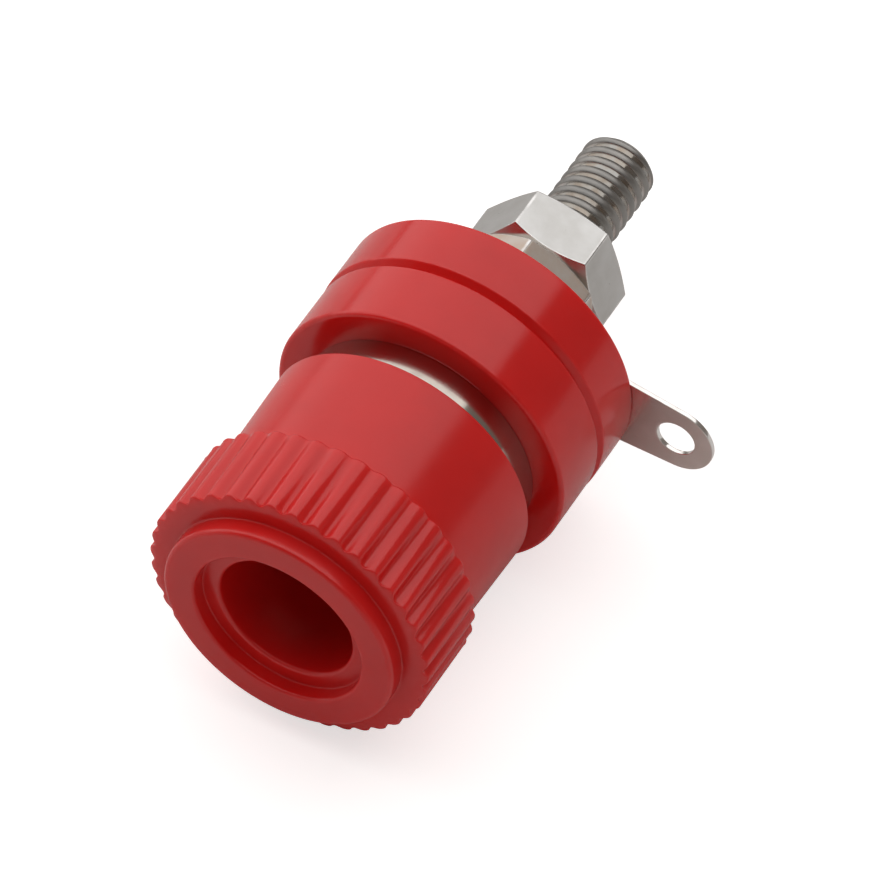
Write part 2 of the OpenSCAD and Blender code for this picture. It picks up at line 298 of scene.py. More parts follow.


# plated metal: a clean and a filmed tone mixed by the cloudy film, darker and rougher as painted shade where
# the mesh's own mask asks for it, brighter and smoother on rubbed edges, with turning lines and frosted grain
# in the bump
def makePlated(name, look):
    material, tree, shader = startMaterial(name)
    shader.inputs["Metallic"].default_value = 1.0
    plate, rub = useGroup(tree, plateGroup), useGroup(tree, rubGroup)
    film = rangeNode(tree, plate["Film"], *look["film"])
    colour = mixNode(tree, film, look["clean"], look["filmed"])
    rough = rangeNode(tree, mathNode(tree, "SUBTRACT", film, rub["Rub"]), *look["roughFilm"],
                      look["roughLow"], look["roughHigh"])
    # painted shade: the colour goes darker and the metal rougher where the mask asks
    if "dullAndPaintedShade" in look:
        shade = mathNode(tree, "MULTIPLY", maskNode(tree, "dullAndPaintedShade"),
                         rangeNode(tree, film, 0.0, 1.0, look["paintedShadeClean"], 1.0))
        colour = mixNode(tree, shade, colour, look["dullAndPaintedShade"])
        rough = mathNode(tree, "ADD", rough, mathNode(tree, "MULTIPLY", shade, look["dullRough"]))
    speck = mathNode(tree, "MULTIPLY", plate["Speck"], look["speckShare"])
    colour = mixNode(tree, speck, colour, look["speck"])
    colour = mixNode(tree, rub["Rub"], colour, look["rubbed"])
    height = mathNode(tree, "ADD", mathNode(tree, "MULTIPLY", plate["Lines"], look["lineShare"]),
                      mathNode(tree, "MULTIPLY", plate["Grain"], 1.0 - look["lineShare"]))
    feed(tree, shader, colour, rough, height, look["grainDepth"])
    return material


redPlastic = makeRed(redLook)
nutNickel = makePlated("nickelNuts", nutLook)
panelNickel = makePlated("nickelPanelNut", panelNutLook)
postNickel = makePlated("nickelPost", postLook)
lugTin = makePlated("tinnedLug", lugLook)
print("materials made")


# the smaller of two values, with the corner between them rounded over a width
def softMin(first, second, width):
    return (first + second - np.sqrt((first - second) ** 2 + width ** 2)) / 2


filletLook = {
    "stepsPerMm": 20, "fewestSteps": 3, "mostSteps": 14,
    "longest": 0.48,  # share of the shorter neighbouring edge that an arc may take up
    "guard": 0.06, "guardShare": 0.3,  # millimetres past the arc, and the share of what is left of the edge
}


# a section line with every corner rounded: a corner is (radius, place along the axis, fillet), each arc
# is the conic through its two tangent points with the corner as control point and the sine of half the
# corner's angle as weight, and a guard point on each side keeps the flats flat; radius and place may be
# arrays over the columns; gives rows of (radius, place) and a mask that is 1 on the arcs; a line that
# isn't closed keeps its two ends as they are
def roundedLine(corners, closed=True, look=filletLook):
    columns = max(max(np.size(r), np.size(y)) for r, y, fillet in corners)
    points = np.array([np.stack([np.broadcast_to(r, columns), np.broadcast_to(y, columns)], -1)
                       for r, y, fillet in corners], float)
    rows, mask = [], []
    for index, (r, y, fillet) in enumerate(corners):
        corner = points[index]
        if not closed and index in (0, len(corners) - 1):
            rows.append(corner[None])
            mask.append(np.zeros(1))
            continue
        steps = int(np.clip(2 + fillet * look["stepsPerMm"], look["fewestSteps"], look["mostSteps"]))
        back, ahead = points[index - 1] - corner, points[(index + 1) % len(corners)] - corner
        backLength = np.linalg.norm(back, axis=-1, keepdims=True)
        aheadLength = np.linalg.norm(ahead, axis=-1, keepdims=True)
        back, ahead = back / backLength, ahead / aheadLength
        half = np.arccos(np.clip((back * ahead).sum(-1, keepdims=True), -1, 1)) / 2
        reach = np.minimum(fillet / np.tan(half), look["longest"] * np.minimum(backLength, aheadLength))
        t = np.linspace(0, 1, steps)[:, None, None]
        weights = (1 - t) ** 2, 2 * t * (1 - t) * np.sin(half), t ** 2
        arc = (weights[0] * (corner + back * reach) + weights[1] * corner
               + weights[2] * (corner + ahead * reach)) / sum(weights)
        before, after = (
            corner + way * (reach + np.minimum(look["guard"], look["guardShare"] * (length / 2 - reach)))
            for way, length in ((back, backLength), (ahead, aheadLength)))
        rows += [before[None], arc, after[None]]
        mask += [np.zeros(1), np.ones(steps), np.zeros(1)]
    return np.concatenate(rows), np.concatenate(mask)


# rows of (radius, place) turned about the Y axis: x is radius times cosine, z is radius times sine
def turnAbout(line, angles):
    r, y = (np.broadcast_to(part, (len(line), len(angles))) for part in (line[..., 0], line[..., 1]))
    return np.stack([r * np.cos(angles), y, r * np.sin(angles)], -1)


# radii and places along the axis, each over rows, columns or both, joined into rows of (radius, place)
def joinLine(radii, places):
    return np.stack(np.broadcast_arrays(radii, places), -1)


# one whole turn in equal steps
def evenAngles(count):
    return np.linspace(0, 2 * np.pi, count, endpoint=False)


# the radius of a circle cut by two flats: the flat's distance over the cosine, where that is smaller
def flattened(angles, radius, flat):
    return np.minimum(radius, flat / np.maximum(np.abs(np.cos(angles)), tiny))


# quads between neighbouring rows and columns of a grid, wrapped where the grid closes on itself
def gridQuads(rows, columns, wrapRows, wrapColumns):
    index = np.arange(rows * columns).reshape(rows, columns)
    if wrapRows:
        index = np.concatenate([index, index[:1]], 0)
    if wrapColumns:
        index = np.concatenate([index, index[:, :1]], 1)
    return np.stack([index[:-1, :-1], index[1:, :-1], index[1:, 1:], index[:-1, 1:]], -1).reshape(-1, 4)


# puts points in millimetres, lists of faces and the named masks into a mesh, turned so that its volume is
# positive: six times the volume is the sum of corner dot (corner cross corner) over a fan of each face
def makePiece(name, points, faces, masks, material, body, slot, node):
    volume = 0.0
    for group in faces:
        for k in range(1, group.shape[1] - 1):
            a, b, c = points[group[:, 0]], points[group[:, k]], points[group[:, k + 1]]
            volume += np.einsum("ij,ij->", a, np.cross(b, c))
    if volume < 0:
        faces = [group[:, ::-1] for group in faces]
    mesh = bpy.data.meshes.new(name)
    mesh.from_pydata((points * mm).tolist(), [], sum((group.tolist() for group in faces), []))
    for label, values in masks.items():
        layer = mesh.attributes.new(label, "FLOAT", "POINT")
        layer.data.foreach_set("value", np.asarray(values, np.float32).ravel())
    mesh.shade_smooth()
    mesh.materials.append(material)
    piece = bpy.data.objects.new(name, mesh)
    scene.collection.objects.link(piece)
    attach(piece, body)
    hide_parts(node)
    print("made", name, "with", len(mesh.vertices), "points")
    return piece


# a mask given for the rows, or for rows and columns, spread over the whole grid
def spread(masks, shape):
    return {label: np.broadcast_to(values if np.ndim(values) == 2 else np.asarray(values)[:, None], shape)
            for label, values in masks.items()}


# a section that closes on itself, turned into a ring
def makeRing(name, line, masks, angles, *rest):
    grid = turnAbout(line, angles)
    faces = gridQuads(*grid.shape[:2], True, True)
    return makePiece(name, grid.reshape(-1, 3), [faces], spread(masks, grid.shape[:2]), *rest)


# a section that starts and ends on the axis, turned into a solid: its first and last rows are poles
def makeTurned(name, line, masks, angles, *rest):
    grid = turnAbout(line[1:-1], angles)
    rows, columns = grid.shape[:2]
    points = np.concatenate([grid.reshape(-1, 3), turnAbout(line[[0, -1]], angles)[:, 0]])
    ring = np.arange(columns)
    nextRing = np.roll(ring, -1)
    first, last = np.full(columns, rows * columns), np.full(columns, rows * columns + 1)
    base = (rows - 1) * columns
    fans = np.concatenate([np.stack([first, ring, nextRing], -1),
                           np.stack([last, base + nextRing, base + ring], -1)])
    masks = {label: np.concatenate([values[1:-1].ravel(), np.zeros(2)])
             for label, values in spread(masks, (len(line), columns)).items()}
    return makePiece(name, points, [gridQuads(rows, columns, False, True), fans], masks, *rest)


# depth of a thread over one turn, as a share of the whole: the crest sinks towards its edges by the square
# of the distance from its middle, then a straight flank runs down to the root's flat
def threadDepth(turns, crest, root, sag=0.0):
    away = np.abs((turns + 0.5) % 1.0 - 0.5)
    flank = np.clip((away - crest) / (0.5 - crest - root), 0, 1)
    return sag * np.clip(away / crest, 0, 1) ** 2 + (1 - sag) * flank


capLook = {
    "skirtR": 6.8, "skirtFlare": 0.15, "skirtRoot": 0.06, "rearEdge": 0.06,
    "collarR": 7.5, "collarLength": 4.56, "collarEdge": 0.09,
    "flutes": 40, "fluteAngle": 1.9, "frontDepth": 0.42, "rearDepth": 0.20, "flutePower": 1.2,
    "fluteColumns": (0, 4, 9, 15, 22, 30, 37, 43, 47, 50),  # hundredths of a flute from the crest's middle
    "shoulderWidth": 0.92, "shoulderFall": 0.18, "cutEdge": 0.11, "runOut": 0.6, "runStart": 0.55,
    "shoulderRows": ((0, 60, 9), (66, 90, 6)),  # degrees of the quarter ellipse: from, to, count
    "runRows": 8, "straightRows": 4,
    "straightEnd": 0.2,  # how far before the collar's rear the straight flutes end
    "ringR": 6.125, "ringHeight": 0.97, "ringEdge": 0.22, "ringRoot": 0.05,
    "recessR": 4.45, "recessDepth": 0.8, "recessEdge": 0.16, "floorEdge": 0.05, "seam": (0.4, 0.5),
    "mouthR": 3.525, "mouthEdge": 0.17, "mouthRearEdge": 0.08,
    "pocketR": 4.94, "pocketLength": 5.64, "pocketEdge": 0.06,
    "keyR": 5.54, "keyLength": 1.48, "keyMiddle": 2.8, "keyEdge": 0.04,
    "satin": 1.0, "rubShare": 0.5, "crestRub": 0.25, "collarMargin": (0.05, 0.01),
}


# a flute's share is half of one less the cosine of the angle from the crest's middle, raised to a power; the
# collar's radius is the smaller of the quarter ellipse of its shoulder and the crest less that share of
# the flute's depth, which falls evenly from the front to the rear and runs out in a smooth step at the front
def makeCap(look):
    front, rear = (corner.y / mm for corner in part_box("cap"))
    skirtR, collarR, recessR = look["skirtR"], look["collarR"], look["recessR"]
    collarFront = front + look["ringHeight"]
    collarRear = collarFront + look["collarLength"]
    keyFront = rear - look["keyMiddle"] - look["keyLength"] / 2
    keyRear = rear - look["keyMiddle"] + look["keyLength"] / 2
    pocketFront = rear - look["pocketLength"]
    floor = front + look["recessDepth"]
    seamStart, seamEnd = (front + place for place in look["seam"])

    half = np.array(look["fluteColumns"])
    share = np.concatenate([-half[:0:-1], half[:-1]]) / 100
    turns = (np.arange(look["flutes"])[:, None] + 0.5 + share).ravel() / look["flutes"]
    angles = 2 * np.pi * turns + math.radians(look["fluteAngle"])
    away = np.tile(np.abs(share) * 2, look["flutes"])
    flute = (0.5 - 0.5 * np.cos(np.pi * away)) ** look["flutePower"]

    quarter = np.radians(np.concatenate([np.linspace(*rows) for rows in look["shoulderRows"]]))
    straight = look["collarLength"] - look["shoulderFall"] - look["straightEnd"]
    along = np.concatenate([np.linspace(0, look["runOut"], look["runRows"])[1:],
                            np.linspace(look["runOut"], straight, look["straightRows"])[1:]])
    bareR = np.concatenate([collarR - look["shoulderWidth"] * (1 - np.sin(quarter)), 0 * along + collarR])
    fall = np.concatenate([look["shoulderFall"] * (1 - np.cos(quarter)), look["shoulderFall"] + along])
    depth = look["frontDepth"] + (look["rearDepth"] - look["frontDepth"]) * fall / look["collarLength"]
    rise = np.clip(look["runStart"] + fall / look["runOut"], 0, 1)
    depth = depth * rise ** 2 * (3 - 2 * rise)
    cut = softMin(bareR[:, None], collarR + look["cutEdge"] / 2 - depth[:, None] * flute, look["cutEdge"])
    collar = joinLine(cut, (collarFront + fall)[:, None])
    rearR = collarR - look["rearDepth"] * flute

    frontLine, frontMask = roundedLine([
        (recessR, seamStart, 0), (recessR, front, look["recessEdge"]),
        (look["ringR"], front, look["ringEdge"]), (look["ringR"], collarFront, look["ringRoot"]),
        (collar[0, :, 0], collarFront, 0),
    ], closed=False)
    rearLine, rearMask = roundedLine([
        (collar[-1, :, 0], collar[-1, :, 1], 0), (rearR, collarRear, look["collarEdge"]),
        (skirtR, collarRear, look["skirtRoot"]), (skirtR + look["skirtFlare"], rear, look["rearEdge"]),
        (look["pocketR"], rear, look["pocketEdge"]), (look["pocketR"], keyRear, look["keyEdge"]),
        (look["keyR"], keyRear, look["keyEdge"]), (look["keyR"], keyFront, look["keyEdge"]),
        (look["pocketR"], keyFront, look["keyEdge"]), (look["pocketR"], pocketFront, look["keyEdge"]),
        (look["mouthR"], pocketFront, look["mouthRearEdge"]), (look["mouthR"], floor, look["mouthEdge"]),
        (recessR, floor, look["floorEdge"]), (recessR, seamEnd, 0),
    ], closed=False)
    line = np.concatenate([frontLine[:-1], collar, rearLine[1:]])
    mask = np.concatenate([frontMask[:-1], np.zeros(len(collar)), rearMask[1:]])

    outside, before = look["collarMargin"]
    onCollar = (line[..., 0] > skirtR + outside) & (line[..., 1] < collarRear - before)
    crest = np.exp(-(away / look["crestRub"]) ** 2)
    edge = look["rubShare"] * np.maximum(mask[:, None] * ~onCollar, onCollar * crest)
    satin = np.full(len(line), look["satin"])
    return makeRing("redCap", line, {"edge": edge, "satin": satin}, angles,
                    redPlastic, "cap_shell", "red_plastic", "cap")


makeCap(capLook)


bushLook = {
    "boreR": 3.49, "outerR": 4.9, "keyR": 5.5, "keyLength": 1.4, "length": 5.6, "edge": 0.08, "root": 0.05,
    "pitch": 0.75, "threadDepth": 0.38, "threadCrest": 0.1, "threadRoot": 0.06, "chamfer": 0.4,
    "columns": 96, "row": 0.05,
}


# the bore's thread: radius grows from the crest by the thread's depth, turning once a pitch, and is never
# less than the cone of the chamfer at either end
def makeBush(look):
    front, rear = (corner.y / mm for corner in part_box("cap_insert"))
    keyFront = (front + rear - look["keyLength"]) / 2
    keyRear = keyFront + look["keyLength"]
    angles = evenAngles(look["columns"])
    outside, mask = roundedLine([
        (look["boreR"] + look["chamfer"], front, 0), (look["outerR"], front, look["edge"]),
        (look["outerR"], keyFront, look["root"]), (look["keyR"], keyFront, look["edge"]),
        (look["keyR"], keyRear, look["edge"]), (look["outerR"], keyRear, look["root"]),
        (look["outerR"], rear, look["edge"]), (look["boreR"] + look["chamfer"], rear, 0),
    ], closed=False)
    y = np.linspace(rear, front, 2 + int(look["length"] / look["row"]))[1:-1, None]
    turns = y / look["pitch"] + angles / (2 * np.pi)
    cut = look["threadDepth"] * (1 - threadDepth(turns, look["threadCrest"], look["threadRoot"]))
    lead = np.maximum(look["chamfer"] - np.minimum(rear - y, y - front), 0)
    bore = joinLine(look["boreR"] + np.maximum(cut, lead), y)
    line = np.concatenate([np.repeat(outside, len(angles), 1), bore])
    mask = np.concatenate([mask, np.zeros(len(bore))])
    return makeRing("capBush", line, {"edge": mask}, angles,
                    postNickel, "cap_bush", "nickel_brass", "cap_insert")


makeBush(bushLook)


postShape = {
    "columns": 144, "fillet": 0.1, "smallFillet": 0.05,
    "studR": 1.965, "studDepth": 0.35, "studPitch": 0.735, "studPhase": 0.58, "studCrest": 0.30,
    "studRoot": 0.02, "studSag": 0.24, "studStart": 10.15, "studRow": 0.016, "studRub": 5,
    "studEnd": 0.55, "studEdge": 0.12, "studEdgeReach": 0.06, "studBlend": 0.05,
    "endRings": (0, 0.3, 0.7, 0.94),  # shares of the stud's end radius
    "neckGap": 0.02, "neckLength": 0.3, "neckDepth": 1.1, "coreR": 1.4,
    "shankEnd": 2.27, "shankR": 3.0, "shankFlat": 2.65,
    "flangeFront": -5.15, "flangeRear": -3.41, "flangeR": 6.16, "flangeEdge": 0.1, "flangeRoot": 0.01,
    "barrelR": 3.45, "barrelDepth": 0.40, "barrelPitch": 0.75, "barrelCrest": 0.1, "barrelRoot": 0.06,
    "barrelRow": 0.05, "barrelRub": 4, "relief": 0.45,
    "tipBreak": 0.4, "tipGap": 0.02, "mouthEdge": 0.08, "socketR": 2.0, "socketEnd": 1.25, "socketCone": 1.0,
    "wireHoleR": 1.0, "wireHolePlace": -6.45, "drillColumns": 48, "drillSpare": 1.0, "sharpAngle": 50.0,
}


# cuts a round hole through a piece along Z: the drill is a closed cylinder, and the cut mesh takes the place
# of the first one
def drillAcross(piece, look):
    columns, radius, place = look["drillColumns"], look["wireHoleR"], look["wireHolePlace"]
    reach = look["barrelR"] + look["drillSpare"]
    angles = evenAngles(columns)
    ring = np.stack([radius * np.cos(angles), place + radius * np.sin(angles), 0 * angles], -1)
    points = np.concatenate([ring - (0, 0, reach), ring + (0, 0, reach)])
    side = np.arange(columns)
    ahead = np.roll(side, -1)
    quads = np.stack([side, ahead, ahead + columns, side + columns], -1).tolist()
    mesh = bpy.data.meshes.new("drill")
    mesh.from_pydata((points * mm).tolist(), [], quads + [side[::-1].tolist(), (side + columns).tolist()])
    drill = bpy.data.objects.new("drill", mesh)
    scene.collection.objects.link(drill)
    cut = piece.modifiers.new("wire hole", "BOOLEAN")
    cut.operation, cut.solver, cut.object = "DIFFERENCE", "MANIFOLD", drill
    whole = piece.data
    ready = piece.evaluated_get(bpy.context.evaluated_depsgraph_get())
    piece.data = bpy.data.meshes.new_from_object(ready)
    piece.data.set_sharp_from_angle(angle=math.radians(look["sharpAngle"]))
    piece.modifiers.clear()
    for used in (drill.data, whole):
        bpy.data.meshes.remove(used)
    print("drilled", piece.name, "to", len(piece.data.vertices), "points")


# stud: radius is the crest less the thread's depth, and never more than the cone of the end's chamfer; the
# barrel's thread is the same between its chamfer and its relief; the shank is a circle cut by two flats;
# the stud's mask of painted shade is 1 on the crest and on the end face and falls to 0 on the flanks, which
# its edge mask calls rubbed; the darker tone it brings stands in for the dark surroundings the stud reflects
def makePost(look):
    tip, end = (corner.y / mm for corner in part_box("post"))
    angles = evenAngles(look["columns"])
    turn = angles / (2 * np.pi)
    fillet, small = look["fillet"], look["smallFillet"]

    y = np.arange(end, look["studStart"], -look["studRow"])[:, None]
    turns = y / look["studPitch"] + turn - look["studPhase"]
    depth = threadDepth(turns, look["studCrest"], look["studRoot"], look["studSag"])
    rounding = look["studEdge"] * np.exp(-(end - y) / look["studEdgeReach"])
    cone = look["studR"] - look["studEnd"] + (end - y) - rounding
    stud = joinLine(softMin(look["studR"] - look["studDepth"] * depth, cone, look["studBlend"]), y)
    studPaintedShade = 1 - np.clip((depth - look["studSag"]) * look["studRub"], 0, 1)
    face = joinLine(np.array(look["endRings"]) * stud[0, 0, 0], end)[:, None]

    shank = flattened(angles, look["shankR"], look["shankFlat"])
    reliefR, reliefEnd = look["barrelR"] - look["barrelDepth"], look["flangeFront"] - look["relief"]
    middle, middleEdge = roundedLine([
        (look["studR"] - look["studDepth"] * look["neckDepth"], look["studStart"] - look["neckGap"], 0),
        (look["coreR"], look["studStart"] - look["neckLength"], fillet),
        (look["coreR"], look["shankEnd"], small),
        (shank, look["shankEnd"], fillet), (shank, look["flangeRear"], small),
        (look["flangeR"], look["flangeRear"], look["flangeRoot"]),
        (look["flangeR"], look["flangeFront"], look["flangeEdge"]),
        (reliefR, look["flangeFront"], fillet), (reliefR, reliefEnd, 0),
    ], closed=False)

    y = np.arange(reliefEnd - look["barrelRow"], tip, -look["barrelRow"])[:, None]
    barrelDepth = threadDepth(y / look["barrelPitch"] + turn, look["barrelCrest"], look["barrelRoot"])
    lead = np.minimum(y - tip, 2 * (reliefEnd - y)) - look["tipBreak"]
    barrel = joinLine(
        look["barrelR"] - np.maximum(look["barrelDepth"] * barrelDepth, np.maximum(-lead, 0)), y)

    inside, insideEdge = roundedLine([
        (look["barrelR"] - look["tipBreak"] - look["tipGap"], tip, 0),
        (look["socketR"] + look["tipBreak"], tip, look["mouthEdge"]),
        (look["socketR"], tip + look["tipBreak"], look["mouthEdge"]),
        (look["socketR"], look["socketEnd"] - look["socketCone"], small), (0, look["socketEnd"], 0),
    ], closed=False)

    parts = [face, stud, middle, barrel, inside]
    line = np.concatenate([np.broadcast_to(part, (len(part), len(angles), 2)) for part in parts])
    edges = [np.zeros((len(face), 1)), 1 - studPaintedShade, middleEdge[:, None],
             np.clip(1 - barrelDepth * look["barrelRub"], 0, 1), insideEdge[:, None]]
    # painted shade on the stud's crests and on its end face
    paintedShades = [np.ones((len(face), 1)), studPaintedShade] + [np.zeros((len(part), 1)) for part in parts[2:]]
    edge, dullAndPaintedShade = (np.concatenate([np.broadcast_to(rows, (len(rows), len(angles))) for rows in masks])
                  for masks in (edges, paintedShades))
    post = makeTurned("contactPost", line, {"edge": edge, "dullAndPaintedShade": dullAndPaintedShade}, angles,
                      postNickel, "socket_body", "nickel_brass", "post")
    drillAcross(post, look)


makePost(postShape)


frontShape = {
    "discR": 7.75, "rear": 0.03, "frontRim": 0.2, "rearRim": 0.03,
    "spigotR": 4.0, "spigotEdge": 0.1, "boreR": 3.06, "boreFlat": 2.71, "boreEdge": 0.05, "columns": 192,
}
rearShape = {
    "discR": 7.8, "grooveChamfer": 0.5, "grooveEdge": 0.1, "rearRim": 0.1, "recessR": 4.06, "recessEdge": 0.1,
    "webThick": 0.95, "boreR": 2.095, "boreEdge": 0.05, "columns": 192,
}


# a disc and its spigot in one rounded section, whose bore is a circle cut by the shank's two flats
def makeFrontDisc(look):
    front, spigotEnd = (corner.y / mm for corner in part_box("front_insulator"))
    angles = evenAngles(look["columns"])
    bore = flattened(angles, look["boreR"], look["boreFlat"])
    line, mask = roundedLine([
        (bore, front, look["boreEdge"]), (look["discR"], front, look["frontRim"]),
        (look["discR"], look["rear"], look["rearRim"]), (look["spigotR"], look["rear"], look["spigotEdge"]),
        (look["spigotR"], spigotEnd, look["spigotEdge"]), (bore, spigotEnd, look["boreEdge"]),
    ])
    return makeRing("frontDisc", line, {"edge": mask}, angles,
                    redPlastic, "socket_body", "red_plastic", "front_insulator")


# a recessed disc in one rounded section, whose chamfered front rim leaves the groove between the discs
def makeRearDisc(look):
    front, rear = (corner.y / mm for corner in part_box("rear_insulator"))
    web = rear - look["webThick"]
    line, mask = roundedLine([
        (look["recessR"], front, look["recessEdge"]),
        (look["discR"] - look["grooveChamfer"], front, look["grooveEdge"]),
        (look["discR"], front + look["grooveChamfer"], look["grooveEdge"]),
        (look["discR"], rear, look["rearRim"]), (look["boreR"], rear, look["boreEdge"]),
        (look["boreR"], web, look["boreEdge"]), (look["recessR"], web, look["boreEdge"]),
    ])
    return makeRing("rearDisc", line, {"edge": mask}, evenAngles(look["columns"]),
                    redPlastic, "socket_body", "red_plastic", "rear_insulator")


makeFrontDisc(frontShape)
makeRearDisc(rearShape)


nutShape = {
    "flats": 6.9, "faceStep": 0.1, "holeR": 1.99, "holeBreak": 0.3, "holeEdge": 0.05,
    "corner": 0.10, "edge": 0.045, "edgeRub": 0.9,
    "columns": (0, 6, 12, 18, 23, 26, 27.6, 28.4, 28.9, 29.3, 29.7),  # degrees from the middle of a flat
}
panelNutShape = dict(nutShape, angle=57.0, frontSlope=18.0, rearSlope=31.0)
terminalNutShape = dict(nutShape, angle=75.5, frontSlope=31.0, rearSlope=18.0)
nutFillet = dict(filletLook, guard=0.05)


# a nut's radius round the axis: half the flats over the cosine, cut at the corners by the arc whose centre
# lies inside the corner; each chamfer meets that radius at its height times the slope's tangent
def makeNut(name, node, material, look):
    front, rear = (corner.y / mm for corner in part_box(node))
    half, small = look["flats"] / 2, look["corner"]
    toSide = np.array(look["columns"])
    sixth = np.concatenate([[-30], -toSide[:0:-1], toSide])
    offset = np.radians(np.tile(sixth, 6))
    angles = np.radians(look["angle"]) + np.repeat(np.arange(6), len(sixth)) * np.pi / 3 + offset
    toCorner = np.pi / 6 - np.abs(offset)
    centre = (half - small) / math.cos(math.pi / 6)
    inArc = small ** 2 - (centre * np.sin(toCorner)) ** 2
    arc = centre * np.cos(toCorner) + np.sqrt(np.maximum(inArc, 0))
    outer = np.where(inArc > 0, np.minimum(half / np.cos(offset), arc), half / np.cos(offset))
    face = half - look["faceStep"]
    frontDrop, rearDrop = ((outer - face) * math.tan(math.radians(look[key]))
                           for key in ("frontSlope", "rearSlope"))
    hole, lead, edge, holeEdge = look["holeR"], look["holeBreak"], look["edge"], look["holeEdge"]
    line, mask = roundedLine([
        (hole + lead, front, holeEdge), (face, front, edge), (outer, front + frontDrop, edge),
        (outer, rear - rearDrop, edge), (face, rear, edge), (hole + lead, rear, holeEdge),
        (hole, rear - lead, holeEdge), (hole, front + lead, holeEdge),
    ], look=nutFillet)
    onSide = np.abs(line[..., 0] - outer) < tiny
    rub = np.maximum(mask[:, None] * look["edgeRub"], (inArc > 0) * onSide)
    return makeRing(name, line, {"edge": rub}, angles, material, "socket_body", "nickel_steel", node)


makeNut("panelNut", "inner_nut", panelNickel, panelNutShape)
makeNut("terminalNut", "outer_nut", nutNickel, terminalNutShape)


washerShape = {"boreR": 2.095, "outerR": 3.45, "split": 0.5, "splitAngle": 173.4, "edge": 0.1, "columns": 160}


# a rounded section carried round the axis from one side of the slot to the other: the slot's half angle
# at each radius is the arcsine of its half width over the radius
def makeWasher(look):
    front, rear = (corner.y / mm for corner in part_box("lock_washer"))
    line, mask = roundedLine([
        (look["boreR"], front, look["edge"]), (look["outerR"], front, look["edge"]),
        (look["outerR"], rear, look["edge"]), (look["boreR"], rear, look["edge"]),
    ])
    r, y = line[:, 0, 0][:, None], line[:, 0, 1][:, None]
    gap = np.arcsin(look["split"] / 2 / r)
    share = np.linspace(0, 1, look["columns"])
    angles = math.radians(look["splitAngle"]) + gap + share * (2 * np.pi - 2 * gap)
    grid = np.stack([r * np.cos(angles), y + 0 * angles, r * np.sin(angles)], -1)
    rows, columns = grid.shape[:2]
    index = np.arange(rows * columns).reshape(rows, columns)
    faces = [gridQuads(rows, columns, True, False), index[::-1, :1].T, index[:, -1:].T]
    return makePiece("springWasher", grid.reshape(-1, 3), faces, {"edge": np.repeat(mask, columns)},
                     nutNickel, "socket_body", "nickel_steel", "lock_washer")


makeWasher(washerShape)


lugShape = {
    "reach": 10.25, "holeR": 1.0, "tipR": 1.975, "rootR": 2.7, "eyeR": 3.8, "boreR": 2.095, "splitAt": 6.0,
    "angle": -6.6, "bevel": 0.03, "bevelSteps": 3, "bevelAngle": 50.0,
    "crossPoints": 17, "eyeSidePoints": 9, "tipSidePoints": 13, "arcPoints": 65,
    "rings": (0, 0.05, 0.2, 0.4, 0.6, 0.8, 0.95, 1), "mergeDigits": 5,
}


